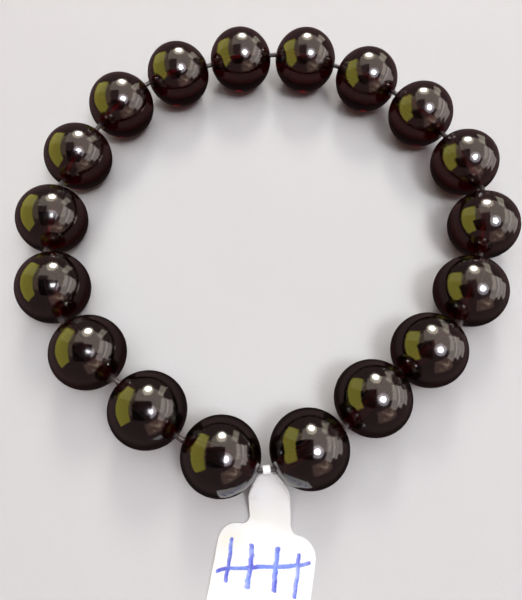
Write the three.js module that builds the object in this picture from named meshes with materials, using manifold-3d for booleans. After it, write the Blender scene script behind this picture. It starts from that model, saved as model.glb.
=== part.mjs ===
// A bracelet of drilled, polished garnet beads on an elastic cord, with a folded paper price tag.
// Millimetres, +Z up. The bracelet lies on a table at z = 0 and the tag points along -Y.
// The origin is on the table, under the middle of the whole object.
import * as THREE from 'three';
import { mergeVertices } from 'three/addons/utils/BufferGeometryUtils.js';
import Module from 'manifold-3d';

// Beads
const BEAD_DIAMETER = 10;
const BEAD_RADIUS = BEAD_DIAMETER / 2;
const BORE_RADIUS = 0.6;
const MOUTH_RADIUS = 0.8;
const CHAMFER_DEPTH = 0.2;
const BEAD_SIDES = 18;
const BEAD_ARC_STEPS = 8;

// Elastic cord
const CORD_RADIUS = 0.35;
const CORD_SIDES = 8;

// The closed route of the cord seen from above, through the hole mouths, from the tag round by -X.
const CORD_ROUTE = [
  [-0.1, -33.6], [-9.6, -30.5], [-18.7, -23.3], [-26.6, -16.3], [-31.5, -3.6], [-31.2, 5.7],
  [-26.6, 17.7], [-20.9, 25.6], [-9.9, 30.5], [0.8, 33.0], [11.2, 30.7], [20.8, 24.9],
  [27.5, 16.9], [32.5, 4.7], [29.9, -4.9], [24.6, -16.4], [16.4, -21.6], [8.8, -29.1],
];
const ROUTE_DIVISIONS = 2000;
const WALK_PASSES = 12;
const FIRST_MOUTH_AT = 0.65;

// The bead beside the tag on the -X side comes first on the route; numbers run clockwise from the back.
const FIRST_BEAD = 11;
// Free cord between the hole mouths of one bead and the next, in the order of the route.
const FREE_CORD = [
  1.1, 1.3, 1.25, 1.1, 1.35, 1.5, 1.15, 0.7, 1.0, 0.85, 0.85, 0.95, 1.45, 0.95, 1.25, 0.2, 0.5,
];
const BEAD_COUNT = FREE_CORD.length + 1;

// Paper tag: its middle line from the cord outwards, as steps from the cord (x, y).
const TAG_ROUTE = [
  [0, 0], [0.1, -1.2], [0.38, -3.0], [0.52, -4.7], [0.54, -6.0], [0.28, -8.1], [-0.84, -15.1],
  [-2.6, -26.2],
];
const PAPER_THICKNESS = 0.3;
const PINCHED_THICKNESS = 0.2;
const PINCH_END = 2;
const PINCHED_HALF_WIDTH = 0.45;
const NECK_HALF_WIDTH = 2.6;
const FLARE_RUN = 3.3;
const FLARE_ROUNDING = 1.5;
const NECK_RISE = 4.3;
const NECK_RUN = 7;
const NECK_DROOP = 1.6;
const TROUGH_DEPTH = 1.3;
const TROUGH_START = 0.9;
const BODY_HALF_WIDTH = 6.15;
const SHOULDER_START = 5.55;
const FILLET_RUN = 1.2;
const FILLET_WIDTH = 1.1;
const SHOULDER_RUN = 2.4;
const BODY_TILT = THREE.MathUtils.degToRad(-10.5);
const CORNER_RADIUS = 3;
const TAG_STRIPS = 6;
const FLARE_STEPS = 9;
const NECK_STEPS = 5;
const FILLET_STEPS = 5;
const SHOULDER_STEPS = 6;
const BODY_STEPS = 3;
const CORNER_STEPS = 6;
const SECTION_ANGLE = THREE.MathUtils.degToRad(80);

// Paper loop round the cord, between the two front beads
const LOOP_INNER_RADIUS = 0.45;
const LOOP_THICKNESS = 0.15;
const LOOP_SIDES = 16;

const GARNET = { color: 0x2a0b0e, roughness: 0.06, metalness: 0 };
const ELASTIC = { color: 0x17130f, roughness: 0.6, metalness: 0 };
const PAPER = { color: 0xf3f1e8, roughness: 0.75, metalness: 0 };

const UP = new THREE.Vector3(0, 0, 1);
const { smoothstep, lerp } = THREE.MathUtils;

// Where the beads and the bends of the cord are

const cordRoute = new THREE.CatmullRomCurve3(
  CORD_ROUTE.map(([x, y]) => new THREE.Vector3(x, y, BEAD_RADIUS)), true, 'centripetal');
cordRoute.arcLengthDivisions = ROUTE_DIVISIONS;
const routeLength = cordRoute.getLength();

// The share of the route at which a point lies a straight distance ahead of the point at share u.
function stepAhead(u, distance) {
  const from = cordRoute.getPointAt(u);
  let ahead = u + distance / routeLength;
  for (let pass = 0; pass < WALK_PASSES; pass += 1) {
    ahead += (distance - cordRoute.getPointAt(ahead).distanceTo(from)) / routeLength;
  }
  return ahead;
}

// Each bead's two hole mouths, walked along the route: one bead's diameter, then the free cord.
function placeBeads() {
  const places = [];
  let u = FIRST_MOUTH_AT / routeLength;
  for (let step = 0; step < BEAD_COUNT; step += 1) {
    const end = stepAhead(u, BEAD_DIAMETER);
    places.push({
      number: (FIRST_BEAD - 1 + step) % BEAD_COUNT + 1,
      mouths: [cordRoute.getPointAt(u), cordRoute.getPointAt(end)],
    });
    u = step < FREE_CORD.length ? stepAhead(end, FREE_CORD[step]) : end;
  }
  return places;
}

// The tag's middle line on the table, starting at the cord.
const tagMiddle = new THREE.CatmullRomCurve3(
  TAG_ROUTE.map(([x, y]) => new THREE.Vector3(x, y, 0)), false, 'centripetal');
const tagLength = tagMiddle.getLength();
const filletEnd = SHOULDER_START + FILLET_RUN;
const shoulderEnd = filletEnd + SHOULDER_RUN;
const cornerStart = tagLength - CORNER_RADIUS;

// Solids

function toSolid(library, geometry) {
  const bare = geometry.clone();
  bare.deleteAttribute('normal');
  bare.deleteAttribute('uv');
  const merged = mergeVertices(bare);
  return new library.Manifold(new library.Mesh({
    numProp: 3,
    vertProperties: new Float32Array(merged.attributes.position.array),
    triVerts: new Uint32Array(merged.index.array),
  }));
}

function toGeometry(solid) {
  const mesh = solid.getMesh();
  const geometry = new THREE.BufferGeometry();
  geometry.setAttribute('position', new THREE.BufferAttribute(mesh.vertProperties, 3));
  geometry.setIndex(new THREE.BufferAttribute(mesh.triVerts, 1));
  geometry.computeVertexNormals();
  return geometry;
}

// A sphere turned round its bore, with a small chamfer at each hole mouth. The bore runs along Y.
function beadGeometry() {
  const mouthAngle = Math.asin(MOUTH_RADIUS / BEAD_RADIUS);
  const mouthY = BEAD_RADIUS * Math.cos(mouthAngle);
  const boreY = mouthY - CHAMFER_DEPTH;
  const profile = [new THREE.Vector2(BORE_RADIUS, -boreY)];
  for (let step = 0; step <= BEAD_ARC_STEPS; step += 1) {
    const angle = lerp(mouthAngle, Math.PI - mouthAngle, step / BEAD_ARC_STEPS);
    profile.push(new THREE.Vector2(BEAD_RADIUS * Math.sin(angle), -BEAD_RADIUS * Math.cos(angle)));
  }
  profile.push(new THREE.Vector2(BORE_RADIUS, boreY));
  profile.push(profile[0].clone());
  return new THREE.LatheGeometry(profile, BEAD_SIDES);
}

// One closed ring of round section, straight through each bead and mitred at each hole mouth.
function cordGeometry(bends) {
  const count = bends.length;
  const geometry = new THREE.TorusGeometry(1, CORD_RADIUS, CORD_SIDES, count);
  const position = geometry.attributes.position;
  for (let side = 0; side <= CORD_SIDES; side += 1) {
    const around = (side % CORD_SIDES) / CORD_SIDES * 2 * Math.PI;
    for (let bend = 0; bend <= count; bend += 1) {
      const here = bends[bend % count];
      const before = here.clone().sub(bends[(bend + count - 1) % count]).normalize();
      const after = bends[(bend + 1) % count].clone().sub(here).normalize();
      const along = before.clone().add(after).normalize();
      const outward = UP.clone().cross(along).divideScalar(along.dot(after));
      const point = here.clone()
        .addScaledVector(outward, CORD_RADIUS * Math.cos(around))
        .addScaledVector(UP, -CORD_RADIUS * Math.sin(around));
      position.setXYZ(side * (count + 1) + bend, point.x, point.y, point.z);
    }
  }
  return geometry;
}

// The height of a quarter circle of radius 1 at a share of its run, from its top down to its foot.
function quarterCircle(share) {
  return Math.sqrt(Math.max(0, 1 - share ** 2));
}

// Half the tag's width at a distance along its middle line: the flare, the fillet of each shoulder,
// its rounded corner, the body and the rounded end.
function tagHalfWidth(along) {
  if (along > cornerStart) {
    return BODY_HALF_WIDTH - CORNER_RADIUS * (1 - quarterCircle((along - cornerStart) / CORNER_RADIUS));
  }
  if (along > shoulderEnd) {
    return BODY_HALF_WIDTH;
  }
  if (along > filletEnd) {
    const left = (shoulderEnd - along) / SHOULDER_RUN;
    return lerp(NECK_HALF_WIDTH + FILLET_WIDTH, BODY_HALF_WIDTH, quarterCircle(left));
  }
  if (along > SHOULDER_START) {
    return NECK_HALF_WIDTH + FILLET_WIDTH * (1 - quarterCircle((along - SHOULDER_START) / FILLET_RUN));
  }
  const narrowing = Math.max(0, 1 - along / FLARE_RUN) ** FLARE_ROUNDING;
  return lerp(NECK_HALF_WIDTH, PINCHED_HALF_WIDTH, narrowing);
}

// Distances along the tag at which it has a cross section: close together where it changes.
function tagStations() {
  const even = (share) => share;
  const closerAtEnd = (share) => Math.sin(share * Math.PI / 2);
  const closerAtStart = (share) => 1 - Math.cos(share * Math.PI / 2);
  const stretches = [
    [0, FLARE_RUN, FLARE_STEPS, even],
    [FLARE_RUN, SHOULDER_START, NECK_STEPS, even],
    [SHOULDER_START, filletEnd, FILLET_STEPS, closerAtEnd],
    [filletEnd, shoulderEnd, SHOULDER_STEPS, closerAtStart],
    [shoulderEnd, cornerStart, BODY_STEPS, even],
    [cornerStart, tagLength, CORNER_STEPS, closerAtEnd],
  ];
  const stations = [0];
  for (const [from, to, count, spacing] of stretches) {
    for (let step = 1; step <= count; step += 1) {
      stations.push(lerp(from, to, spacing(step / count)));
    }
  }
  return stations;
}

// The tag's cross section at a distance along it. It is flat on the table, and on the neck it rises to
// the cord, where its edges curl up into a trough because the two front beads pinch it.
function tagSection(along, neckTurn) {
  const lift = Math.max(0, 1 - along / NECK_RUN);
  const slope = lift > 0 ? NECK_RISE * NECK_DROOP / NECK_RUN * lift ** (NECK_DROOP - 1) : 0;
  const thickness = lerp(PINCHED_THICKNESS, PAPER_THICKNESS, smoothstep(along, PINCH_END, SHOULDER_START));
  const turn = lerp(neckTurn, BODY_TILT, smoothstep(along, PINCH_END / 2, SHOULDER_START + 1));
  const halfWidth = tagHalfWidth(along);
  const narrow = Math.max(0, 1 - (halfWidth / NECK_HALF_WIDTH) ** 2);
  const depth = TROUGH_DEPTH * Math.sqrt(narrow) * smoothstep(along, 0, TROUGH_START);
  return {
    thickness,
    middle: tagMiddle.getPointAt(along / tagLength).setZ(thickness / 2 + NECK_RISE * lift ** NECK_DROOP),
    downTag: tagMiddle.getTangentAt(along / tagLength).setZ(-slope).normalize(),
    sideways: new THREE.Vector3(Math.cos(turn), Math.sin(turn), 0),
    spread: halfWidth / Math.sin(SECTION_ANGLE),
    curl: depth / (1 - Math.cos(SECTION_ANGLE)),
  };
}

// A thin box bent into the tag, one cross section after another.
function stripGeometry(root, neckTurn) {
  const sections = tagStations().map((along) => tagSection(along, neckTurn));
  const last = sections.length - 1;
  const geometry = new THREE.BoxGeometry(2, 1, 1, TAG_STRIPS, last, 1);
  const position = geometry.attributes.position;
  for (let index = 0; index < position.count; index += 1) {
    const angle = position.getX(index) * SECTION_ANGLE;
    const section = sections[Math.round((0.5 - position.getY(index)) * last)];
    const face = Math.sign(position.getZ(index));
    const inSection = section.sideways.clone().multiplyScalar(section.spread * Math.cos(angle))
      .addScaledVector(UP, section.curl * Math.sin(angle));
    const normal = section.downTag.clone().cross(inSection).normalize();
    const point = section.middle.clone()
      .addScaledVector(section.sideways, section.spread * Math.sin(angle))
      .addScaledVector(UP, section.curl * (1 - Math.cos(angle)))
      .addScaledVector(normal, face * section.thickness / 2);
    position.setXYZ(index, root.x + point.x, root.y + point.y, point.z);
  }
  return geometry;
}

// The paper loop: a short band round the cord.
function loopGeometry(root, neckTurn) {
  const outer = LOOP_INNER_RADIUS + LOOP_THICKNESS;
  const profile = [
    new THREE.Vector2(LOOP_INNER_RADIUS, -PINCHED_HALF_WIDTH),
    new THREE.Vector2(outer, -PINCHED_HALF_WIDTH),
    new THREE.Vector2(outer, PINCHED_HALF_WIDTH),
    new THREE.Vector2(LOOP_INNER_RADIUS, PINCHED_HALF_WIDTH),
  ];
  profile.push(profile[0].clone());
  const geometry = new THREE.LatheGeometry(profile, LOOP_SIDES);
  geometry.rotateZ(-Math.PI / 2 + neckTurn);
  geometry.translate(root.x, root.y, root.z);
  return geometry;
}

// The object

const wasm = await Module();
wasm.setup();

const places = placeBeads();
const bracelet = new THREE.Group();

const garnet = new THREE.MeshStandardMaterial(GARNET);
const beadShape = beadGeometry();
for (const { number, mouths: [from, to] } of places) {
  const bead = new THREE.Mesh(beadShape, garnet);
  bead.name = `bead_${String(number).padStart(2, '0')}`;
  const bore = to.clone().sub(from).normalize();
  bead.quaternion.setFromRotationMatrix(new THREE.Matrix4().makeBasis(bore.clone().cross(UP), bore, UP));
  bead.position.copy(from).lerp(to, 0.5);
  bracelet.add(bead);
}

const cord = new THREE.Mesh(
  cordGeometry(places.flatMap((place) => place.mouths)), new THREE.MeshStandardMaterial(ELASTIC));
cord.name = 'elastic_cord';
bracelet.add(cord);

const nearMouth = places[0].mouths[0];
const farMouth = places[BEAD_COUNT - 1].mouths[1];
const tagRoot = nearMouth.clone().lerp(farMouth, 0.5);
const neckTurn = Math.atan2(farMouth.y - nearMouth.y, farMouth.x - nearMouth.x);
const tagStrip = toSolid(wasm, stripGeometry(tagRoot, neckTurn));
const tagSolid = tagStrip.add(toSolid(wasm, loopGeometry(tagRoot, neckTurn)));
const tag = new THREE.Mesh(toGeometry(tagSolid), new THREE.MeshStandardMaterial(PAPER));
tag.name = 'price_tag';
bracelet.add(tag);

const extent = new THREE.Box3().setFromObject(bracelet, true);
const middle = extent.getCenter(new THREE.Vector3());
bracelet.position.set(-middle.x, -middle.y, 0);

const object = new THREE.Group();
object.add(bracelet);

export default object;
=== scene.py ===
"""A garnet bead bracelet with a folded paper price tag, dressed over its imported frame.

The bracelet lies on a table at z = 0 and the tag points along -Y. Lengths are in metres and
MM turns millimetres into them. Every bead, the elastic and the tag is a piece of its own.
"""
import logging
import math
import random
from collections.abc import Iterable, Mapping, Sequence
from dataclasses import dataclass, field
from enum import Enum

import bmesh
import bpy
from mathutils import Matrix, Vector


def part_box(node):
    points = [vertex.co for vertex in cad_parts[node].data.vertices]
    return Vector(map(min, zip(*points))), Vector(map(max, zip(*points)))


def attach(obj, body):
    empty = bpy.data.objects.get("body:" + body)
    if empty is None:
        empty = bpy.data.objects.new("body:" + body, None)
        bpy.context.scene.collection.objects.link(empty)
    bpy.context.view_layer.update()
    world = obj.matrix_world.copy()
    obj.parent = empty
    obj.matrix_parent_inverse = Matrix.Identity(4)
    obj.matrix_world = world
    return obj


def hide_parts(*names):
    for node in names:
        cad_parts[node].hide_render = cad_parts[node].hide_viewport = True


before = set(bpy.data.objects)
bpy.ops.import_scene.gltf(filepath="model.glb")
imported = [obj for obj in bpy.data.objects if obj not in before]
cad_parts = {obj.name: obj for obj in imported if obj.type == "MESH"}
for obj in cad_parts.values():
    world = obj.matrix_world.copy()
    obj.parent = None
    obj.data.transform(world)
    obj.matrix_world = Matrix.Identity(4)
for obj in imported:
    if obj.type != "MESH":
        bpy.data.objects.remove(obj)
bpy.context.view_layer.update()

log = logging.getLogger("bracelet")

MM = 0.001
UP = Vector((0.0, 0.0, 1.0))
BODY = "root"
BEAD_COUNT = 18
PHOTO_HEIGHT = 600
CUT_TOLERANCE = 1e-9
WELD_DISTANCE = 1e-7

Socket = bpy.types.NodeSocket
Value = float | int | Sequence[float] | Socket
Feeds = Mapping[str | int, Value]
Colour = tuple[float, float, float, float]
Material = bpy.types.Material
Piece = bpy.types.Object
Shape = bmesh.types.BMesh
Layer = bmesh.types.BMLayerItem
Vertex = bmesh.types.BMVert
Edge = bmesh.types.BMEdge


class Slot(Enum):
    """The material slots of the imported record."""

    GARNET = "garnet"
    ELASTIC = "elastic"
    PAPER = "tag_paper"


def smoothstep(value: float, low: float, high: float) -> float:
    """Returns a value eased from 0 at and under a low limit to 1 at and over a high one."""
    share = min(1.0, max(0.0, (value - low) / (high - low)))
    return share * share * (3.0 - 2.0 * share)


def lerp(start: float, end: float, share: float) -> float:
    """Returns the number at a share of the way from start to end."""
    return start + (end - start) * share


def quarter_circle(share: float) -> float:
    """Returns the height of a quarter circle of radius 1 at a share of its run, from its top."""
    return math.sqrt(max(0.0, 1.0 - share * share))


class Spacing(Enum):
    """How steps are spread over a stretch."""

    EVEN = "even"
    CLOSER_AT_START = "closer at start"
    CLOSER_AT_END = "closer at end"

    def place(self, share: float) -> float:
        """Returns where a step lies, as a share of the stretch."""
        if self is Spacing.CLOSER_AT_END:
            return math.sin(share * math.pi / 2)
        if self is Spacing.CLOSER_AT_START:
            return 1.0 - math.cos(share * math.pi / 2)
        return share


# Material trees


class NodeSheet:
    """A node tree with short methods that add its nodes and join them."""

    def __init__(self, tree: bpy.types.NodeTree) -> None:
        """Starts with a node tree, to which the methods add."""
        self.tree = tree

    def add(self, kind: str, feeds: Feeds | None = None, **choices: object) -> bpy.types.Node:
        """Adds one node, with its choices and its inputs.

        Args:
            kind: The node's Blender type.
            feeds: For each input, by name or number, the value or the output that it takes.
            **choices: The node's own settings, such as its operation.

        Returns:
            The new node.
        """
        node = self.tree.nodes.new(kind)
        for choice, setting in choices.items():
            setattr(node, choice, setting)
        for key, value in (feeds or {}).items():
            if isinstance(value, bpy.types.NodeSocket):
                self.tree.links.new(value, node.inputs[key])
            else:
                node.inputs[key].default_value = value
        return node

    def math(self, operation: str, *values: Value, clamp: bool = False) -> Socket:
        """Returns the result of a Math node, kept from 0 to 1 where clamped."""
        feeds = dict(enumerate(values))
        return self.add("ShaderNodeMath", feeds, operation=operation, use_clamp=clamp).outputs[0]

    def times(self, first: Value, second: Value) -> Socket:
        """Returns the product of two numbers."""
        return self.math("MULTIPLY", first, second)

    def vector(self, operation: str, *values: Value, out: str = "Vector") -> Socket:
        """Returns one output, Vector or Value, of a Vector Math node."""
        return self.add("ShaderNodeVectorMath", dict(enumerate(values)), operation=operation).outputs[out]

    def scaled(self, vector: Value, factor: Value) -> Socket:
        """Returns a vector made longer or shorter by one factor."""
        return self.add("ShaderNodeVectorMath", {0: vector, "Scale": factor}, operation="SCALE").outputs[0]

    def grade(
            self, value: Socket, low: float, high: float, to_low: float = 0.0,
            to_high: float = 1.0) -> Socket:
        """Maps a range smoothly to another one, and holds it there.

        Args:
            value: The output to map.
            low: The start of its range.
            high: The end of its range.
            to_low: The result at the start.
            to_high: The result at the end.

        Returns:
            The mapped output.
        """
        feeds = {"Value": value, "From Min": low, "From Max": high, "To Min": to_low, "To Max": to_high}
        return self.add("ShaderNodeMapRange", feeds, interpolation_type="SMOOTHSTEP").outputs["Result"]

    def blend(self, share: Value, first: Value, second: Value) -> Socket:
        """Returns two colours mixed by the second one's share."""
        return self.add("ShaderNodeMix", {0: share, 6: first, 7: second}, data_type="RGBA").outputs[2]

    def noise(self, place: Socket, grain: float, detail: float = 2.0, warp: float = 0.0) -> Socket:
        """Adds a cloudy noise.

        Args:
            place: The coordinates that it follows.
            grain: The size of one patch, in metres.
            detail: How many finer layers it has.
            warp: How far it is bent by itself.

        Returns:
            Its strength from about 0 to 1.
        """
        feeds = {"Vector": place, "Scale": 1.0 / grain, "Detail": detail, "Distortion": warp}
        return self.add("ShaderNodeTexNoise", feeds).outputs[0]

    def stretched(self, place: Socket, factors: tuple[float, float, float]) -> Socket:
        """Returns coordinates multiplied by a factor each."""
        return self.add("ShaderNodeMapping", {"Vector": place, "Scale": factors}).outputs[0]

    def object_place(self) -> Socket:
        """Returns the object's own coordinates, in metres."""
        return self.add("ShaderNodeTexCoord").outputs["Object"]

    def attribute(self, name: str, out: str = "Fac") -> Socket:
        """Returns an attribute of the piece by its name."""
        return self.add("ShaderNodeAttribute", attribute_name=name).outputs[out]

    def relief(self, height: Socket) -> Socket:
        """Returns a surface direction from a height given in metres."""
        return self.add("ShaderNodeBump", {"Height": height, "Distance": 1.0, "Strength": 1.0}).outputs[0]


class MaterialSheet(NodeSheet):
    """A new material and its node tree."""

    def __init__(self, name: str) -> None:
        """Starts an empty material.

        Args:
            name: The material's name.
        """
        self.material = bpy.data.materials.new(name)
        self.material.use_nodes = True
        super().__init__(self.material.node_tree)
        self.tree.nodes.clear()
        self.output = self.add("ShaderNodeOutputMaterial")

    def surface(self, feeds: Feeds) -> Material:
        """Adds the surface shader, joins it to the output and returns the material."""
        shader = self.add("ShaderNodeBsdfPrincipled", feeds)
        self.tree.links.new(shader.outputs[0], self.output.inputs["Surface"])
        return self.material


# Finishes


@dataclass(frozen=True)
class GarnetFinish:
    """Polished, nearly black dark red garnet that lets light through where it is thin.

    Attributes:
        refraction: The stone's index of refraction.
        clear_tint: The surface tint of the clean stone.
        cloudy_tint: The surface tint where the stone is cloudy.
        feather_tint: The surface tint of the fine feathers in it.
        through_colour: The colour that the stone lets through.
        density: How strongly it takes up the other colours, per metre.
        polish: The roughness of the polished surface.
        smear: The roughness added where handling has dulled it.
        drilled: The roughness of the drilled hole.
        roll_depth: The depth of the broad unevenness that hand polishing leaves.
        ripple_depth: The depth of the fine one.
        pit_depth: The depth of the pits.
        score_depth: The depth of the drill's marks in the hole.
    """

    refraction: float = 1.76
    clear_tint: Colour = (0.62, 0.16, 0.17, 1.0)
    cloudy_tint: Colour = (0.44, 0.10, 0.08, 1.0)
    feather_tint: Colour = (0.70, 0.38, 0.30, 1.0)
    through_colour: Colour = (0.70, 0.0, 0.42, 1.0)
    density: float = 1400.0
    polish: float = 0.085
    smear: float = 0.03
    drilled: float = 0.42
    roll_depth: float = 0.014 * MM
    ripple_depth: float = 0.005 * MM
    pit_depth: float = 0.008 * MM
    score_depth: float = 0.03 * MM

    def material(self) -> Material:
        """Makes the stone and returns its material."""
        sheet = MaterialSheet("polished_garnet")
        place = sheet.object_place()
        clouds = sheet.grade(sheet.noise(place, 6 * MM, 3.0, 0.4), 0.38, 0.66)
        feathers = sheet.grade(sheet.noise(place, 1.4 * MM, 5.0, 1.2), 0.60, 0.70)
        tint = sheet.blend(clouds, self.clear_tint, self.cloudy_tint)
        tint = sheet.blend(sheet.times(feathers, 0.5), tint, self.feather_tint)
        hole = sheet.attribute("drilled")
        handled = sheet.noise(place, 3.2 * MM, 4.0, 0.3)
        dull = sheet.grade(handled, 0.50, 0.78, self.polish, self.polish + self.smear)
        rough = sheet.math("MAXIMUM", dull, sheet.times(hole, self.drilled))
        depth = {"Color": self.through_colour, "Density": self.density}
        inside = sheet.add("ShaderNodeVolumeAbsorption", depth)
        sheet.tree.links.new(inside.outputs[0], sheet.output.inputs["Volume"])
        return sheet.surface({
            "Base Color": tint,
            "Roughness": rough,
            "Normal": sheet.relief(self.height(sheet, place, hole)),
            "IOR": self.refraction,
            "Transmission Weight": 1.0,
        })

    def height(self, sheet: MaterialSheet, place: Socket, hole: Socket) -> Socket:
        """Makes the relief of the surface: hand polishing, pits and the drill's rings.

        Args:
            sheet: The material that it is part of.
            place: The coordinates that it follows.
            hole: The share of the surface that the drill left.

        Returns:
            The height, in metres.
        """
        rolling = sheet.times(sheet.noise(place, 5 * MM, 0.0), self.roll_depth)
        cells = sheet.add("ShaderNodeTexVoronoi", {"Vector": place, "Scale": 1 / (1.1 * MM)})
        pits = sheet.grade(cells.outputs["Distance"], 0.02, 0.08, 1.0, 0.0)
        some = sheet.grade(sheet.noise(place, 2.6 * MM, 1.0), 0.60, 0.68)
        sunk = sheet.times(sheet.times(pits, some), -self.pit_depth)
        rings = sheet.times(sheet.noise(place, 0.12 * MM, 3.0), hole)
        scored = sheet.times(rings, self.score_depth)
        ripples = sheet.times(sheet.noise(place, 0.9 * MM, 2.0), self.ripple_depth)
        worn = sheet.math("ADD", sheet.math("ADD", rolling, ripples), sunk)
        return sheet.math("ADD", worn, scored)


@dataclass(frozen=True)
class ElasticFinish:
    """Dark elastic cord of many fine strands laid side by side.

    Attributes:
        core: The colour of the strands.
        crest: The colour where they catch dust and light.
        strands: How many strands show round the cord.
        twist: How far the strands turn along it, in radians a metre.
        depth: The depth of the furrows between them.
    """

    core: Colour = (0.018, 0.011, 0.012, 1.0)
    crest: Colour = (0.060, 0.038, 0.040, 1.0)
    strands: int = 9
    twist: float = 2200.0
    depth: float = 0.025 * MM

    def material(self) -> Material:
        """Makes the elastic and returns its material."""
        sheet = MaterialSheet("elastic_strands")
        run = sheet.attribute("cord_run", "Vector")
        parts = sheet.add("ShaderNodeSeparateXYZ", {0: run}).outputs
        drift = sheet.noise(sheet.stretched(run, (1.0, 0.0004, 1.0)), 2.5 * MM, 2.0)
        twist = sheet.math("MULTIPLY_ADD", parts[0], self.twist, sheet.times(drift, 3.0))
        turn = sheet.math("MULTIPLY_ADD", parts[1], 2 * math.pi * self.strands, twist)
        ridge = sheet.math("MULTIPLY_ADD", sheet.math("SINE", turn), 0.5, 0.5)
        fluff = sheet.noise(sheet.object_place(), 0.08 * MM, 4.0)
        height = sheet.times(sheet.math("MULTIPLY_ADD", fluff, 0.4, ridge), self.depth)
        return sheet.surface({
            "Base Color": sheet.blend(sheet.times(ridge, fluff), self.core, self.crest),
            "Roughness": sheet.grade(fluff, 0.3, 0.7, 0.42, 0.62),
            "Normal": sheet.relief(height),
            "Sheen Weight": 0.25,
            "Sheen Roughness": 0.4,
        })


@dataclass(frozen=True)
class PenMarks:
    """Tally marks in pen: four upright strokes and one slanted across them.

    Attributes:
        strokes: Each stroke's two ends, across and along the tag, in millimetres.
        half_width: Half the pen line's width, in metres.
        shake: How far the hand's shaking bends a stroke.
        ink: The ink's colour where the pen pressed or paused.
        thin_ink: Its colour where the pen ran fast.
    """

    strokes: tuple[tuple[float, float, float, float], ...] = (
        (-3.5, 8.8, -3.3, 13.4),
        (-1.3, 9.0, -1.1, 13.6),
        (0.9, 8.7, 1.2, 13.3),
        (3.1, 8.9, 3.2, 13.5),
        (-4.8, 12.6, 4.7, 9.6),
    )
    half_width: float = 0.23 * MM
    shake: float = 0.5 * MM
    ink: Colour = (0.030, 0.050, 0.52, 1.0)
    thin_ink: Colour = (0.085, 0.17, 0.66, 1.0)

    def distance(self, sheet: MaterialSheet, place: Socket) -> Socket:
        """Makes the distance to the nearest stroke.

        Args:
            sheet: The material that it is part of.
            place: The place on the tag, across and along, in metres.

        Returns:
            The distance, in metres.
        """
        nearest: Socket | None = None
        for x0, y0, x1, y1 in self.strokes:
            start = Vector((x0, y0, 0.0)) * MM
            reach = Vector((x1, y1, 0.0)) * MM - start
            away = sheet.vector("SUBTRACT", place, start)
            along = sheet.vector("DOT_PRODUCT", away, reach, out="Value")
            share = sheet.math("DIVIDE", along, reach.length_squared, clamp=True)
            off_line = sheet.vector("SUBTRACT", away, sheet.scaled(reach, share))
            gap = sheet.vector("LENGTH", off_line, out="Value")
            nearest = gap if nearest is None else sheet.math("MINIMUM", nearest, gap)
        return nearest


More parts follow.
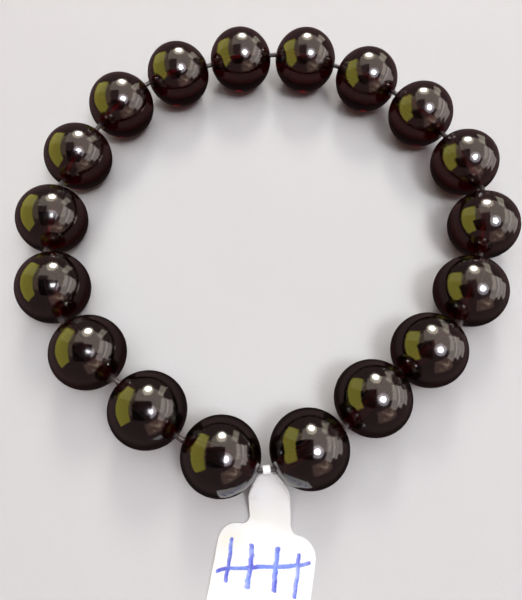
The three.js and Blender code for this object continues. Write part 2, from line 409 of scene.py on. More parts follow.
@dataclass(frozen=True)
class PaperFinish:
    """Smooth white label paper with fibres, a faint cream cast that is partly yellowing and partly painted
    warm light on the lower left, worn edges, painted shade near the cord and on the loop, and pen marks.

    Attributes:
        white: The clean paper's colour.
        cream: Its colour where it has yellowed.
        fibre_tint: The colour of the fibres that show.
        grime_and_painted_shade: The colour of the handled edges, and of the painted shade near the cord and
            on the pinched loop.
        marks: The pen marks on it.
        wave_depth: The depth of the sheet's unevenness.
        tooth_depth: The depth of its fibres.
        dent_depth: How deep the pen pressed.
    """

    white: Colour = (0.79, 0.81, 0.81, 1.0)
    # cream: Its colour where it has yellowed, and the painted warm light that favours the lower left of the
    # body.
    cream: Colour = (0.76, 0.75, 0.62, 1.0)
    fibre_tint: Colour = (0.66, 0.65, 0.62, 1.0)
    grime_and_painted_shade: Colour = (0.40, 0.38, 0.35, 1.0)
    marks: PenMarks = field(default_factory=PenMarks)
    wave_depth: float = 0.09 * MM
    tooth_depth: float = 0.006 * MM
    dent_depth: float = 0.02 * MM

    def material(self) -> Material:
        """Makes the paper and returns its material."""
        sheet = MaterialSheet("label_paper")
        place = sheet.attribute("sheet_place", "Vector")
        across, along, top = sheet.add("ShaderNodeSeparateXYZ", {0: place}).outputs
        fibre = sheet.noise(sheet.stretched(place, (1.0, 0.4, 1.0)), 0.16 * MM, 5.0, 0.6)
        aged = sheet.grade(sheet.noise(place, 7 * MM, 3.0), 0.42, 0.70, 0.0, 0.8)
        # Painted warm light: the random yellowing is pushed towards the lower left of the body, as a warm
        # light from that side would tint it.
        lower_left = sheet.math("MULTIPLY_ADD", across, -60.0, sheet.times(along, 18.0))
        cast = sheet.times(aged, sheet.math("ADD", lower_left, 0.55, clamp=True))
        paper = sheet.blend(cast, self.white, self.cream)
        paper = sheet.blend(sheet.grade(fibre, 0.62, 0.80, 0.0, 0.25), paper, self.fibre_tint)
        rim = sheet.grade(sheet.attribute("edge_distance"), 0.0, 0.35 * MM, 0.55, 0.0)
        rubbed = sheet.times(rim, sheet.grade(sheet.noise(place, 1.1 * MM, 4.0), 0.40, 0.62))
        # Painted shade: the pinch mask darkens the paper near the cord and on the loop, as if shaded between
        # the beads; the rubbed mask is real edge wear.
        pinch = sheet.grade(along, 0.3 * MM, 2.6 * MM, 0.16, 0.0)
        wear_and_painted_shade = sheet.math("MAXIMUM", rubbed, pinch)
        paper = sheet.blend(wear_and_painted_shade, paper, self.grime_and_painted_shade)
        ink, dent = self.pen(sheet, place, fibre, top)
        flow = sheet.grade(sheet.noise(place, 1.8 * MM, 2.0), 0.40, 0.60)
        colour = sheet.blend(ink, paper, sheet.blend(flow, self.marks.thin_ink, self.marks.ink))
        wave = sheet.times(sheet.noise(place, 9 * MM, 1.0), self.wave_depth)
        tooth = sheet.times(fibre, self.tooth_depth)
        dented = sheet.times(dent, self.dent_depth)
        height = sheet.math("SUBTRACT", sheet.math("ADD", wave, tooth), dented)
        matt = sheet.grade(fibre, 0.3, 0.7, 0.50, 0.68)
        return sheet.surface({
            "Base Color": colour,
            "Roughness": sheet.math("SUBTRACT", matt, sheet.times(ink, 0.15)),
            "Normal": sheet.relief(height),
            "IOR": 1.45,
        })

    def pen(self, sheet: MaterialSheet, place: Socket, fibre: Socket, top: Socket) -> tuple[Socket, Socket]:
        """Makes the pen marks' cover and the dent that the pen pressed.

        Args:
            sheet: The material that they are part of.
            place: The place on the tag.
            fibre: The paper's fibres, which the ink runs along.
            top: 1 on the tag's upper layer.

        Returns:
            The ink's cover and the dent's depth, each from 0 to 1.
        """
        half = self.marks.half_width
        shaking = {"Vector": place, "Scale": 1 / (2.2 * MM), "Detail": 1.0}
        shake = sheet.add("ShaderNodeTexNoise", shaking).outputs[1]
        swing = sheet.scaled(sheet.vector("SUBTRACT", shake, (0.5, 0.5, 0.5)), self.marks.shake)
        flat = sheet.vector("MULTIPLY", sheet.vector("ADD", place, swing), (1.0, 1.0, 0.0))
        away = self.marks.distance(sheet, flat)
        ragged = sheet.math("MULTIPLY_ADD", sheet.math("SUBTRACT", fibre, 0.5), 0.25 * MM, away)
        cover = sheet.times(sheet.grade(ragged, half - 0.05 * MM, half + 0.06 * MM, 1.0, 0.0), top)
        pressure = sheet.grade(sheet.noise(place, 1.3 * MM, 3.0), 0.25, 0.55, 0.80, 1.0)
        dent = sheet.times(sheet.grade(away, 0.0, half, 1.0, 0.0), top)
        return sheet.times(cover, pressure), dent


@dataclass(frozen=True)
class TableFinish:
    """A plain pale matt table top with a fine grain.

    Attributes:
        pale: The table's colour.
        paler: Its colour in the lighter clouds.
        grain_depth: The depth of the grain.
    """

    pale: Colour = (0.47, 0.47, 0.465, 1.0)
    paler: Colour = (0.51, 0.51, 0.50, 1.0)
    grain_depth: float = 0.02 * MM

    def material(self) -> Material:
        """Makes the table top and returns its material."""
        sheet = MaterialSheet("pale_table")
        place = sheet.object_place()
        grain = sheet.noise(place, 0.35 * MM, 4.0)
        return sheet.surface({
            "Base Color": sheet.blend(sheet.noise(place, 30 * MM, 4.0), self.pale, self.paler),
            "Roughness": sheet.grade(grain, 0.3, 0.7, 0.72, 0.85),
            "Normal": sheet.relief(sheet.times(grain, self.grain_depth)),
            "Specular IOR Level": 0.25,
        })


# Pieces


def only(kind: type, parts: Iterable[object]) -> list:
    """Returns the parts of one kind, in their order."""
    return [part for part in parts if isinstance(part, kind)]


def hide_from(thing: Piece, *rays: str) -> None:
    """Hides an object from some kinds of rays, such as camera or shadow."""
    for ray in rays:
        setattr(thing, f"visible_{ray}", False)


def finish_piece(bm: Shape, name: str, material: Material, smooth: bool = True) -> Piece:
    """Turns a finished bmesh into an object at the origin.

    Args:
        bm: The shape, which is freed.
        name: The piece's name.
        material: Its finish.
        smooth: Whether its faces are shaded as one smooth surface.

    Returns:
        The new object.
    """
    for face in bm.faces:
        face.smooth = smooth
    mesh = bpy.data.meshes.new(name)
    bm.to_mesh(mesh)
    bm.free()
    mesh.materials.append(material)
    piece = bpy.data.objects.new(name, mesh)
    bpy.context.scene.collection.objects.link(piece)
    return piece


def seat(piece: Piece, slot: Slot, *nodes: str) -> None:
    """Makes a piece ride on the bracelet's body in the place of its CAD nodes.

    Args:
        piece: The piece.
        slot: The piece's material slot. Not used.
        *nodes: The CAD nodes that it stands for.
    """
    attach(piece, BODY)
    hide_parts(*nodes)
    log.info("%s: %d faces, stands for %s", piece.name, len(piece.data.polygons), ", ".join(nodes))


@dataclass(frozen=True)
class BeadPlace:
    """Where one bead lies.

    Attributes:
        node: The bead's CAD node, numbered clockwise from the back.
        middle: Its middle.
        bore: The direction of its hole, towards the bead with the next number.
        reach: How far from its middle the hole's mouths are.
    """

    node: str
    middle: Vector
    bore: Vector
    reach: float

    def mouth(self, side: int) -> Vector:
        """Returns the middle of the hole's mouth on side 1 or -1."""
        return self.middle + self.bore * (side * self.reach)


@dataclass
class BeadString:
    """The eighteen drilled beads.

    Attributes:
        finish: The stone's finish.
        radius: A bead's radius.
        mouth_radius: The radius of the chamfer at each end of the hole.
        bore_radius: The radius of the hole.
        chamfer: The depth of the chamfer.
        rim: The rounding of the hole's two edges.
        segments: How many faces go round the hole.
        rings: How many faces go from one end of a bead to the other.
        flattest: The least length of a bead along its hole, as a share of its diameter.
        seed: The start of the random draws for the beads' small differences.
    """

    finish: GarnetFinish = field(default_factory=GarnetFinish)
    radius: float = 5.0 * MM
    mouth_radius: float = 0.8 * MM
    bore_radius: float = 0.6 * MM
    chamfer: float = 0.2 * MM
    rim: float = 0.05 * MM
    segments: int = 72
    rings: int = 52
    flattest: float = 0.985
    seed: int = 18

    @property
    def mouth_reach(self) -> float:
        """How far from a bead's middle the hole's mouth is."""
        return math.sqrt(self.radius**2 - self.mouth_radius**2)

    def find(self) -> list[BeadPlace]:
        """Reads each bead's middle and hole from its CAD node.

        Returns:
            The places of all beads, in the order of their numbers.
        """
        nodes = [f"bead_{number:02d}" for number in range(1, BEAD_COUNT + 1)]
        middles = [sum(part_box(node), Vector()) / 2 for node in nodes]
        places = []
        for node, middle, following in zip(nodes, middles, middles[1:] + middles[:1]):
            points = (vertex.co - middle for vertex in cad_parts[node].data.vertices)
            edges = [point for point in points if point.length < self.mouth_reach - self.chamfer / 4]
            onward = following - middle
            bore = sum((point for point in edges if point.dot(onward) > 0), Vector()).normalized()
            places.append(BeadPlace(node, middle, bore, self.mouth_reach))
        return places

    def shape(self) -> Shape:
        """Models one bead at the origin with its hole along Z.

        Returns:
            A sphere with a chamfered, rounded and drilled hole.
        """
        bm = bmesh.new()
        bmesh.ops.create_uvsphere(bm, u_segments=self.segments, v_segments=self.rings, radius=self.radius)
        inner: list[Edge] = []
        rims: list[Edge] = []
        for side in (1, -1):
            level = Vector((0.0, 0.0, side * self.mouth_reach))
            everything = bm.verts[:] + bm.edges[:] + bm.faces[:]
            cut = bmesh.ops.bisect_plane(
                bm, geom=everything, dist=CUT_TOLERANCE, plane_co=level, plane_no=level.normalized(),
                clear_outer=True)
            loop = only(Edge, cut["geom_cut"])
            rims += loop
            grown = bmesh.ops.extrude_edge_only(bm, edges=loop)["geom"]
            ring = only(Vertex, grown)
            narrow = self.bore_radius / self.mouth_radius
            bmesh.ops.scale(bm, vec=(narrow, narrow, 1.0), verts=ring)
            bmesh.ops.translate(bm, vec=(0.0, 0.0, -side * self.chamfer), verts=ring)
            inner += [edge for edge in only(Edge, grown) if all(end in ring for end in edge.verts)]
        bmesh.ops.bridge_loops(bm, edges=inner)
        bmesh.ops.recalc_face_normals(bm, faces=bm.faces[:])
        bmesh.ops.bevel(
            bm, geom=rims + inner, offset=self.rim, offset_type="OFFSET", segments=2, profile=0.5,
            affect="EDGES", material=-1)
        drilled = bm.verts.layers.float.new("drilled")
        for vertex in bm.verts:
            vertex[drilled] = 1.0 if vertex.co.xy.length < self.mouth_radius else 0.0
        return bm

    def build(self, places: Iterable[BeadPlace]) -> None:
        """Makes the beads and puts each where its CAD node is.

        Args:
            places: The beads' places.
        """
        stone = self.finish.material()
        draw = random.Random(self.seed)
        pattern = self.shape()
        for place in places:
            turn = Matrix.Rotation(draw.uniform(0.0, 2 * math.pi), 4, "Z")
            press = Matrix.Diagonal((1.0, 1.0, draw.uniform(self.flattest, 1.0), 1.0))
            aim = place.bore.to_track_quat("Z", "Y").to_matrix().to_4x4()
            bm = pattern.copy()
            bm.transform(Matrix.Translation(place.middle) @ aim @ turn @ press)
            seat(finish_piece(bm, f"garnet_{place.node}", stone), Slot.GARNET, place.node)
        pattern.free()


@dataclass
class ElasticCord:
    """The closed elastic that runs straight through every bead.

    Attributes:
        finish: The elastic's finish.
        radius: The cord's radius.
        sides: How many faces go round it.
        steps: How many faces go along it from one bend to the next.
    """

    finish: ElasticFinish = field(default_factory=ElasticFinish)
    radius: float = 0.34 * MM
    sides: int = 16
    steps: int = 6

    def sections(self, places: Sequence[BeadPlace]) -> list[tuple[Vector, Vector]]:
        """Lists the cord's cross sections. It bends at the beads' hole mouths.

        Args:
            places: The beads' places, in order.

        Returns:
            For each section its middle and the cord's direction there.
        """
        bends = [place.mouth(side) for place in places for side in (-1, 1)]
        sections = []
        for behind, here, ahead in zip(bends[-1:] + bends[:-1], bends, bends[1:] + bends[:1]):
            onward = (ahead - here).normalized()
            sections.append((here, ((here - behind).normalized() + onward).normalized()))
            sections += [(here.lerp(ahead, step / self.steps), onward) for step in range(1, self.steps)]
        return sections

    def build(self, places: Sequence[BeadPlace]) -> None:
        """Makes the cord ring by ring and bridges the rings.

        Args:
            places: The beads' places, in order.
        """
        sections = self.sections(places)
        bm = bmesh.new()
        run = bm.verts.layers.float_vector.new("cord_run")
        rings = []
        travelled = 0.0
        for index, (middle, along) in enumerate(sections):
            aim = Matrix((UP.cross(along), UP, along)).transposed().to_4x4()
            made = bmesh.ops.create_circle(
                bm, segments=self.sides, radius=self.radius, matrix=Matrix.Translation(middle) @ aim)["verts"]
            travelled += (middle - sections[index - 1][0]).length if index else 0.0
            for step, vertex in enumerate(made):
                vertex[run] = Vector((travelled, step / self.sides, 0.0))
            rings.append(list({edge for vertex in made for edge in vertex.link_edges}))
        for index, ring in enumerate(rings):
            bmesh.ops.bridge_loops(bm, edges=ring + rings[(index + 1) % len(rings)])
        bmesh.ops.recalc_face_normals(bm, faces=bm.faces[:])
        seat(finish_piece(bm, "elastic_thread", self.finish.material()), Slot.ELASTIC, "elastic_cord")
        log.info("elastic: %.1f mm round", travelled / MM)


@dataclass(frozen=True)
class TagRoute:
    """The tag's middle line on the table, a smooth curve through a few points.

    Attributes:
        points: The points, from the cord outwards, in millimetres.
        samples: How many straight steps stand for one stretch between two points.
    """

    points: tuple[tuple[float, float], ...] = (
        (0.0, 0.0), (0.1, -1.2), (0.38, -3.0), (0.52, -4.7), (0.54, -6.0), (0.28, -8.1), (-0.84, -15.1),
        (-2.6, -26.2))
    samples: int = 60

    def line(self) -> list[Vector]:
        """Follows the curve with tangents that suit the points' uneven spacing.

        Returns:
            The points of a fine polyline, in metres.
        """
        knots = [Vector((x, y, 0.0)) * MM for x, y in self.points]
        knots = [knots[0] * 2 - knots[1], *knots, knots[-1] * 2 - knots[-2]]
        line = [knots[1]]
        for before, start, end, after in zip(knots, knots[1:], knots[2:], knots[3:]):
            lead, span, trail = (
                math.sqrt((b - a).length) for a, b in ((before, start), (start, end), (end, after)))
            leaving = (start - before) / lead - (end - before) / (lead + span) + (end - start) / span
            arriving = (end - start) / span - (after - start) / (span + trail) + (after - end) / trail
            leaving, arriving = leaving * span, arriving * span
            for step in range(1, self.samples + 1):
                t = step / self.samples
                bend = (end - start) * 3 - leaving * 2 - arriving
                settle = (start - end) * 2 + leaving + arriving
                line.append(start + leaving * t + bend * t**2 + settle * t**3)
        return line


@dataclass
class PriceTag:
    """The folded paper tag: a wide body on the table and a neck that rises to the cord.

    Attributes:
        places: The beads' places, in order.
        finish: The paper's finish.
        route: The tag's middle line.
        thickness: The thickness of both layers of the body together.
        pinched_thickness: The thickness at the cord.
        pinch_end: How far from the cord the paper is pressed thin.
        pinched_half_width: Half the width at the cord.
        neck_half_width: Half the neck's width.
        flare_run: The length over which the neck widens from the cord.
        flare_rounding: How soon it widens.
        rise: How high the neck climbs over the table.
        run: The length of the climb.
        droop: How sharply the climb steepens.
        trough: How deep the pinched neck curls.
        trough_start: The length over which the curl begins.
        body_half_width: Half the body's width.
        shoulder_start: Where the shoulders begin.
        fillet_run: The length of the fillet between the neck and a shoulder.
        fillet_width: How far the fillet widens the tag on each side.
        shoulder_run: The length of a shoulder's rounded corner.
        body_tilt: The body's turn on the table.
        corner: The radius of the end corners.
        section_angle: The angle that parts the curl's middle from its edge.
        columns: How many faces go across.
        glue_gap: The thickness of the glue between the layers.
        glue_inset: How far the glue stays back from the edge.
        slip: How far the lower layer shows past the upper one.
        loop_radius: The inner radius of the loop round the cord.
        loop_thickness: The paper's thickness in the loop.
        loop_sides: How many faces go round the loop.
        narrowest: The least share of its width that an inset layer keeps.
        sharp_angle: The angle between faces from which an edge of the paper is sharp.
        right_bead: The number of the bead to the right of the neck.
    """

    places: Sequence[BeadPlace]
    finish: PaperFinish = field(default_factory=PaperFinish)
    route: TagRoute = field(default_factory=TagRoute)
    thickness: float = 0.3 * MM
    pinched_thickness: float = 0.2 * MM
    pinch_end: float = 2.0 * MM
    pinched_half_width: float = 0.45 * MM
    neck_half_width: float = 2.6 * MM
    flare_run: float = 3.3 * MM
    flare_rounding: float = 1.5
    rise: float = 4.3 * MM
    run: float = 7.0 * MM
    droop: float = 1.6
    trough: float = 1.3 * MM
    trough_start: float = 0.9 * MM
    body_half_width: float = 6.15 * MM
    shoulder_start: float = 5.55 * MM
    fillet_run: float = 1.2 * MM
    fillet_width: float = 1.1 * MM
    shoulder_run: float = 2.4 * MM
    body_tilt: float = math.radians(-10.5)
    corner: float = 3.0 * MM
    section_angle: float = math.radians(80.0)
    columns: int = 36
    glue_gap: float = 0.03 * MM
    glue_inset: float = 0.10 * MM
    slip: float = 0.05 * MM
    loop_radius: float = 0.45 * MM
    loop_thickness: float = 0.15 * MM
    loop_sides: int = 48
    narrowest: float = 0.2
    sharp_angle: float = math.radians(35.0)
    right_bead: int = 10

    def __post_init__(self) -> None:
        """Finds the cord between the front beads, measures the middle line and lists the rows."""
        far = self.places[self.right_bead - 1].mouth(1)
        near = self.places[self.right_bead].mouth(-1)
        self.root = near.lerp(far, 0.5)
        self.neck_turn = math.atan2(far.y - near.y, far.x - near.x)
        self.line = self.route.line()
        self.marks = [0.0]
        for start, end in zip(self.line, self.line[1:]):
            self.marks.append(self.marks[-1] + (end - start).length)
        self.length = self.marks[-1]
        self.fillet_end = self.shoulder_start + self.fillet_run
        self.shoulder_end = self.fillet_end + self.shoulder_run
        self.corner_start = self.length - self.corner
        self.rows = self.list_rows()

    def on_line(self, along: float) -> tuple[Vector, Vector]:
        """Finds a point of the middle line.

        Args:
            along: The distance from the cord.

        Returns:
            The point and the line's direction there.
        """
        index = next((i for i, mark in enumerate(self.marks) if mark > along), len(self.marks) - 1)
        start, end = self.line[index - 1], self.line[index]
        share = (along - self.marks[index - 1]) / (self.marks[index] - self.marks[index - 1])
        return start.lerp(end, share), (end - start).normalized()

    def half_width(self, along: float) -> float:
        """Gives half the tag's width.

        Args:
            along: The distance from the cord.

        Returns:
            Half the width there.
        """
        if along > self.corner_start:
            turned = quarter_circle((along - self.corner_start) / self.corner)
            return self.body_half_width - self.corner * (1.0 - turned)
        if along > self.shoulder_end:
            return self.body_half_width
        if along > self.fillet_end:
            turned = quarter_circle((self.shoulder_end - along) / self.shoulder_run)
            return lerp(self.neck_half_width + self.fillet_width, self.body_half_width, turned)
        if along > self.shoulder_start:
            turned = quarter_circle((along - self.shoulder_start) / self.fillet_run)
            return self.neck_half_width + self.fillet_width * (1.0 - turned)
        narrowing = max(0.0, 1.0 - along / self.flare_run) ** self.flare_rounding
        return lerp(self.neck_half_width, self.pinched_half_width, narrowing)

    def point(self, along: float, share: float, offset: float) -> Vector:
        """Places one point of the bent paper.

        Args:
            along: The distance from the cord.
            share: The place across, from -1 at one edge to 1 at the other.
            offset: The height over the paper's middle, as a share of its half thickness.

        Returns:
            The point, measured from the foot of the cord's middle.
        """
        lift = max(0.0, 1.0 - along / self.run)
        slope = self.rise * self.droop / self.run * lift ** (self.droop - 1) if lift > 0 else 0.0
        paper = lerp(
            self.pinched_thickness, self.thickness, smoothstep(along, self.pinch_end, self.shoulder_start))
        untwisted = smoothstep(along, self.pinch_end / 2, self.shoulder_start + MM)
        turn = lerp(self.neck_turn, self.body_tilt, untwisted)
        sideways = Vector((math.cos(turn), math.sin(turn), 0.0))
        half = self.half_width(along)
        narrow = max(0.0, 1.0 - (half / self.neck_half_width) ** 2)
        depth = self.trough * math.sqrt(narrow) * smoothstep(along, 0.0, self.trough_start)
        spread = half / math.sin(self.section_angle)
        curl = depth / (1.0 - math.cos(self.section_angle))
        angle = share * self.section_angle
        middle, direction = self.on_line(along)
        down = Vector((direction.x, direction.y, -slope)).normalized()
        in_section = sideways * (spread * math.cos(angle)) + UP * (curl * math.sin(angle))
        normal = down.cross(in_section).normalized()
        base = middle + UP * (paper / 2 + self.rise * lift**self.droop)
        bent = sideways * (spread * math.sin(angle)) + UP * (curl * (1.0 - math.cos(angle)))
        return base + bent + normal * (offset * paper / 2)

    def list_rows(self) -> list[float]:
        """Lists the distances of the rows from the cord, closer where the outline turns.

        Returns:
            The distances, from 0 to the tag's length.
        """
        stretches = (
            (0.0, self.flare_run, 28, Spacing.EVEN),
            (self.flare_run, self.shoulder_start, 16, Spacing.EVEN),
            (self.shoulder_start, self.fillet_end, 18, Spacing.CLOSER_AT_END),
            (self.fillet_end, self.shoulder_end, 24, Spacing.CLOSER_AT_START),
            (self.shoulder_end, self.corner_start, 70, Spacing.EVEN),
            (self.corner_start, self.length, 24, Spacing.CLOSER_AT_END),
        )
        rows = [0.0]
        for start, end, count, spacing in stretches:
            rows += [lerp(start, end, spacing.place(step / count)) for step in range(1, count + 1)]
        return rows

    @staticmethod
    def blank() -> tuple[Shape, Layer, Layer]:
        """Returns an empty shape and its layers for the place on the tag and the distance to an edge."""
        bm = bmesh.new()
        layers = bm.verts.layers
        return bm, layers.float_vector.new("sheet_place"), layers.float.new("edge_distance")

    def layer(self, low: float, high: float, inset: float, top: float) -> Shape:
        """Models one layer of the paper as a closed, thin shell.

        Args:
            low: Its underside, as a share of the half thickness.
            high: Its upper side, as a share of the half thickness.
            inset: How far it stays back from the outline, or beyond it where negative.
            top: 1 for the layer that carries the pen marks, 0 for the others.

        Returns:
            The layer.
        """
        bm, place, edge = self.blank()
        bmesh.ops.create_grid(bm, x_segments=self.columns, y_segments=len(self.rows) - 1, size=1.0)
        sides = bmesh.ops.extrude_face_region(bm, geom=bm.faces[:])["geom"]
        under = set(only(Vertex, sides))
        for vertex in bm.verts:
            across = vertex.co.x
            along = self.rows[round((1.0 - vertex.co.y) / 2.0 * (len(self.rows) - 1))]
            half = self.half_width(along)
            kept = across * max(self.narrowest, 1.0 - inset / half)
            offset = low if vertex in under else high
            edge_gap = min(half * (1.0 - abs(across)), self.length - along)
            vertex[place] = Vector((across * half, along, top))
            vertex[edge] = edge_gap
            vertex.co = self.point(along, kept, offset) + Vector((self.root.x, self.root.y, 0.0))
        bmesh.ops.recalc_face_normals(bm, faces=bm.faces[:])
        return bm

    def loop(self) -> Shape:
        """Models the band of paper round the cord.

        Returns:
            The band.
        """
        bm, place, edge = self.blank()
        inner, outer = self.loop_radius, self.loop_radius + self.loop_thickness
        half = self.pinched_half_width
        section = ((inner, -half), (outer, -half), (outer, half), (inner, half))
        corners = [bm.verts.new((radius, 0.0, level)) for radius, level in section]
        outline = [bm.edges.new((corners[i - 1], corners[i])) for i in range(4)]
        bmesh.ops.spin(
            bm, geom=corners + outline, cent=(0.0, 0.0, 0.0), axis=(0.0, 0.0, 1.0), angle=2 * math.pi,
            steps=self.loop_sides, use_merge=True)
        bmesh.ops.remove_doubles(bm, verts=bm.verts[:], dist=WELD_DISTANCE)
        bmesh.ops.recalc_face_normals(bm, faces=bm.faces[:])
        for vertex in bm.verts:
            vertex[place] = Vector((vertex.co.z, 0.0, 0.0))
            vertex[edge] = self.loop_thickness
        lay = Matrix.Rotation(self.neck_turn, 4, "Z") @ Matrix.Rotation(math.pi / 2, 4, "Y")
        bm.transform(Matrix.Translation(self.root) @ lay)
        return bm

    def build(self) -> None:
        """Makes the tag of its upper layer, the glue, its lower layer and the loop."""
        glue = self.glue_gap / self.thickness
        layers = [
            self.layer(glue, 1.0, 0.0, 1.0),
            self.layer(-glue, glue, self.glue_inset, 0.0),
            self.layer(-1.0, -glue, -self.slip, 0.0),
            self.loop(),
        ]
        whole = self.blank()[0]
        for part in layers:
            mesh = bpy.data.meshes.new("tag_part")
            part.to_mesh(mesh)
            part.free()
            whole.from_mesh(mesh)
            bpy.data.meshes.remove(mesh)
        piece = finish_piece(whole, "paper_tag", self.finish.material())
        piece.data.set_sharp_from_angle(angle=self.sharp_angle)
        seat(piece, Slot.PAPER, "price_tag")
        log.info("tag: %.1f mm long from the cord", self.length / MM)


# The set


@dataclass(frozen=True)
class BackdropFinish:
    """Pale studio paper that carries its own even light.

    Attributes:
        pale: The paper's colour.
        paler: Its colour in the lighter clouds.
        light: How brightly it is lit from behind.
    """

    pale: Colour = (0.56, 0.55, 0.545, 1.0)
    paler: Colour = (0.60, 0.595, 0.59, 1.0)
    light: float = 0.9

    def material(self) -> Material:
        """Makes the paper and returns its material."""
        sheet = MaterialSheet("studio_paper")
        clouds = sheet.noise(sheet.object_place(), 900 * MM, 2.0)
        return sheet.surface({
            "Base Color": (0.0, 0.0, 0.0, 1.0),
            "Roughness": 1.0,
            "Emission Color": sheet.blend(clouds, self.pale, self.paler),
            "Emission Strength": self.light,
        })


@dataclass
class Table:
    """The plain table that the bracelet lies on, and the pale paper that stands far behind it.

    Attributes:
        finish: The table's finish.
        backdrop: The paper's finish.
        reach: Half the table's width.
        squares: How many faces go along each side of the table.
        paper_radius: The radius of the ring of paper.
        paper_height: The paper's height.
        paper_sides: How many faces go round it.
    """

    finish: TableFinish = field(default_factory=TableFinish)
    backdrop: BackdropFinish = field(default_factory=BackdropFinish)
    reach: float = 2.5
    squares: int = 8
    paper_radius: float = 2.3
    paper_height: float = 2.4
    paper_sides: int = 96

    def build(self) -> None:
        """Makes the table top and the paper. Polished stone mirrors neither."""
        bm = bmesh.new()
        bmesh.ops.create_grid(bm, x_segments=self.squares, y_segments=self.squares, size=self.reach)
        top = finish_piece(bm, "table_top", self.finish.material(), smooth=False)
        hide_from(top, "glossy")
        bm = bmesh.new()
        ring = bmesh.ops.create_circle(bm, segments=self.paper_sides, radius=self.paper_radius)["verts"]
        grown = bmesh.ops.extrude_edge_only(bm, edges=bm.edges[:])["geom"]
        raised = [vertex for vertex in only(Vertex, grown) if vertex not in ring]
        bmesh.ops.translate(bm, vec=(0.0, 0.0, self.paper_height), verts=raised)
        paper = finish_piece(bm, "studio_paper", self.backdrop.material())
        hide_from(paper, "diffuse", "glossy", "transmission", "shadow")


class Reach(Enum):
    """What a light reaches, given by the kinds of rays that it is hidden from."""

    EVERYTHING = ()
    STONE_ONLY = ("diffuse", "transmission")
    SET_ONLY = ("glossy",)


@dataclass(frozen=True)
class SoftLight:
    """One soft light, given by what it covers of the sky over the bracelet.

    Attributes:
        name: The light's name.
        azimuth: Its direction seen from above, in degrees from +Y towards +X.
        elevation: Its height over the table, in degrees.
        width: The angle that it covers sideways, in degrees.
        height: The angle that it covers upwards, in degrees.
        colour: How bright its face is, per channel.
        distance: How far away it hangs.
        roll: Its turn on its own axis, in degrees.
        round: Whether its face is a disc.
        level: Whether it hangs level and shines straight down.
        reach: What it reaches. Most are dim surfaces that only polished stone shows.
    """

    name: str
    azimuth: float
    elevation: float
    width: float
    height: float
    colour: tuple[float, float, float]
    distance: float = 0.9
    roll: float = 0.0
    round: bool = False
    level: bool = False
    reach: Reach = Reach.STONE_ONLY

    def build(self) -> None:
        """Hangs the light and aims it at the bracelet, or straight down."""
        turn, climb = math.radians(self.azimuth), math.radians(self.elevation)
        flat = math.cos(climb)
        way = Vector((math.sin(turn) * flat, math.cos(turn) * flat, math.sin(climb)))
        lamp = bpy.data.lights.new(self.name, "AREA")
        lamp.shape = "ELLIPSE" if self.round else "RECTANGLE"
        lamp.size = 2 * self.distance * math.tan(math.radians(self.width / 2))
        lamp.size_y = 2 * self.distance * math.tan(math.radians(self.height / 2))
        brightest = max(self.colour)
        lamp.color = [channel / brightest for channel in self.colour]
        area = lamp.size * lamp.size_y * (math.pi / 4 if self.round else 1.0)
        lamp.energy = brightest * math.pi * area
        holder = bpy.data.objects.new(self.name, lamp)
        bpy.context.scene.collection.objects.link(holder)
        holder.location = way * self.distance
        holder.rotation_mode = "QUATERNION"
        aim = Matrix.Rotation(math.radians(self.roll), 3, "Z").to_quaternion()
        holder.rotation_quaternion = aim if self.level else way.to_track_quat("Z", "Y") @ aim
        hide_from(holder, "camera", *self.reach.value)


@dataclass(frozen=True)
class BlackCard:
    """A black card that hangs level over the bracelet. Only polished stone shows it.

    Attributes:
        middle: The middle of the card.
        half_sizes: Half its size along X and along Y.
        squares: How many faces go along each of its sides.
        black: Its colour.
        faded: Its colour where it is rubbed.
    """

    middle: Vector = field(default_factory=lambda: Vector((-23.5, -34.5, 74.0)) * MM)
    half_sizes: tuple[float, float] = (36.0 * MM, 37.0 * MM)
    squares: int = 4
    black: Colour = (0.030, 0.024, 0.024, 1.0)
    faded: Colour = (0.055, 0.044, 0.042, 1.0)

    def build(self) -> None:
        """Makes the card."""
        sheet = MaterialSheet("black_card")
        tint = sheet.blend(sheet.noise(sheet.object_place(), 12 * MM, 3.0), self.black, self.faded)
        matt = sheet.surface({"Base Color": tint, "Roughness": 1.0})
        bm = bmesh.new()
        bmesh.ops.create_grid(bm, x_segments=self.squares, y_segments=self.squares, size=1.0)
        size = Matrix.Diagonal((*self.half_sizes, 1.0, 1.0))
        bm.transform(Matrix.Translation(self.middle) @ size)
        card = finish_piece(bm, "black_card", matt, smooth=False)
        hide_from(card, "camera", "diffuse", "transmission", "shadow")


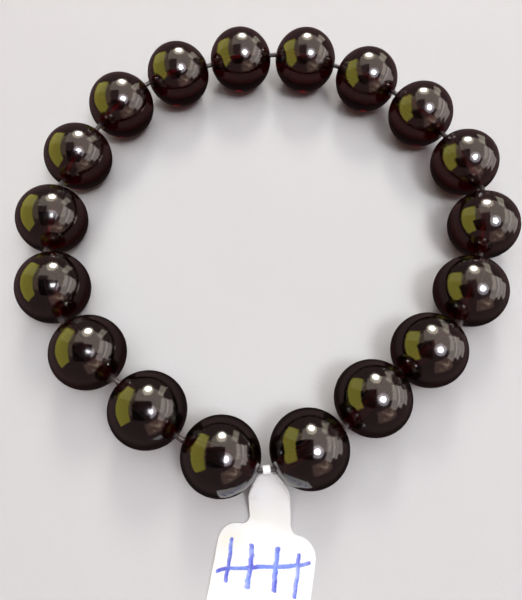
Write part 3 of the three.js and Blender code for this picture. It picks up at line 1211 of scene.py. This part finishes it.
@dataclass
class Studio:
    """The soft lights, the black card and the dim air round the set.

    Attributes:
        card: The black card.
        lights: The soft lights.
        air: The colour of everything round them.
        shade: The colour far below, which the polished rims show.
        shade_top: The height, on a sphere of radius 1, up to which the shade is full.
        air_foot: The height from which the air is full.
    """

    card: BlackCard = field(default_factory=BlackCard)
    lights: tuple[SoftLight, ...] = (
        SoftLight(
            "soft_sky", 20, 78, 70, 60, (2.0, 2.05, 2.15), distance=1.2, level=True, reach=Reach.SET_ONLY),
        SoftLight("back_lamp", 4, 40, 16, 18, (17.0, 16.6, 15.6), round=True, reach=Reach.EVERYTHING),
        SoftLight("back_core", 4, 40, 10, 10, (130.0, 127.0, 121.0), round=True),
        SoftLight("back_glow", 4, 43, 27, 34, (2.9, 2.6, 2.0), round=True),
        SoftLight("top_lamp", 131.5, 67, 18, 18, (15.5, 15.6, 16.4), round=True, reach=Reach.EVERYTHING),
        SoftLight("top_core", 131.5, 67, 11, 11, (120.0, 120.0, 127.0), round=True),
        SoftLight("top_glow", 131.5, 66, 34, 34, (2.4, 2.25, 2.5), round=True),
        SoftLight("ceiling", 54.7, 44.8, 58.9, 65.5, (1.10, 0.93, 0.80), distance=1.338, level=True),
        SoftLight("ceiling_end", -19.2, 53.4, 24, 41.1, (1.02, 0.88, 0.74), distance=1.174, level=True),
        SoftLight("ceiling_side", -82, 55, 20, 58, (0.42, 0.33, 0.20), distance=1.1, level=True),
        SoftLight("window", 95, 32, 58, 24, (1.55, 1.38, 1.26)),
        SoftLight("window_middle", 90, 15, 44, 18, (1.75, 1.55, 1.42)),
        SoftLight("window_foot", 87, -2, 26, 17, (1.35, 1.20, 1.10)),
        SoftLight("pale_panel", 39, 22, 14, 33, (1.5, 1.38, 1.10), roll=24),
        SoftLight("warm_card", -85, 24, 84, 46, (1.28, 1.18, 0.10)),
        SoftLight("warm_card_end", -56, 28, 26, 40, (0.40, 0.42, 0.22)),
        SoftLight("brown_board", 150, 22, 46, 38, (0.42, 0.26, 0.20)),
        SoftLight("brown_patch", 140, 19, 16, 12, (0.62, 0.48, 0.36), roll=20),
        SoftLight("brown_spot", 139, 17, 6, 4, (1.5, 1.2, 0.9), roll=20),
        SoftLight("brown_strip", 153, 31, 20, 9, (0.36, 0.26, 0.20), roll=-30),
        SoftLight("streak_low", 147, 24, 13, 3, (1.1, 0.86, 0.64), roll=-35),
        SoftLight("streak_high", 131, 27, 10, 3, (1.0, 0.78, 0.58), roll=25),
        SoftLight("streak_end", 157, 12, 9, 3, (0.9, 0.70, 0.52), roll=-50),
    )
    air: tuple[float, float, float] = (0.20, 0.125, 0.125)
    shade: tuple[float, float, float] = (0.035, 0.025, 0.025)
    shade_top: float = -0.80
    air_foot: float = -0.35

    def build(self) -> None:
        """Hangs the lights and the card and fills the air."""
        self.card.build()
        for light in self.lights:
            light.build()
        world = bpy.data.worlds.new("studio_air")
        world.use_nodes = True
        sheet = NodeSheet(world.node_tree)
        way = sheet.add("ShaderNodeTexCoord").outputs["Generated"]
        level = sheet.add("ShaderNodeSeparateXYZ", {0: way}).outputs["Z"]
        share = sheet.grade(level, self.shade_top, self.air_foot)
        tint = sheet.blend(share, (*self.shade, 1.0), (*self.air, 1.0))
        sheet.tree.links.new(tint, sheet.tree.nodes["Background"].inputs["Color"])
        bpy.context.scene.world = world
        bpy.context.scene.view_settings.view_transform = "Standard"
        log.info("studio: %d soft lights", len(self.lights))


@dataclass
class Viewpoint:
    """The camera that sees the bracelet as the photograph does.

    Attributes:
        place: Where the camera is.
        pitch: How far it looks down, in degrees.
        roll: How far it is turned on its own axis, in degrees.
        focal_pixels: Its focal length in pixels of the picture's long side.
        sensor: The sensor's long side, in millimetres.
        nearest: The nearest distance that it sees.
        farthest: The farthest distance that it sees.
    """

    place: Vector = field(default_factory=lambda: Vector((-0.805, -26.88, 73.55)) * MM)
    pitch: float = 68.20
    roll: float = 0.85
    focal_pixels: float = 539.16
    sensor: float = 36.0
    nearest: float = 2 * MM
    farthest: float = 20.0

    def build(self) -> None:
        """Sets up the camera."""
        down, roll = math.radians(self.pitch), math.radians(self.roll)
        forward = Vector((0.0, math.cos(down), -math.sin(down)))
        level_up = Vector((0.0, math.sin(down), math.cos(down)))
        level_right = Vector((1.0, 0.0, 0.0))
        right = level_right * math.cos(roll) + level_up * math.sin(roll)
        up = level_up * math.cos(roll) - level_right * math.sin(roll)
        data = bpy.data.cameras.new("viewpoint")
        data.sensor_width = self.sensor
        data.lens = self.focal_pixels * self.sensor / PHOTO_HEIGHT
        data.clip_start = self.nearest
        data.clip_end = self.farthest
        camera = bpy.data.objects.new("viewpoint", data)
        bpy.context.scene.collection.objects.link(camera)
        aim = Matrix((right, up, -forward)).transposed().to_4x4()
        camera.matrix_world = Matrix.Translation(self.place) @ aim
        bpy.context.scene.camera = camera


def main() -> None:
    """Builds the set, the camera and the bracelet, piece by piece."""
    logging.basicConfig(level=logging.INFO, format="%(name)s: %(message)s")
    Viewpoint().build()
    Studio().build()
    Table().build()
    string = BeadString()
    places = string.find()
    string.build(places)
    ElasticCord().build(places)
    PriceTag(places).build()


if __name__ == "__main__":
    main()
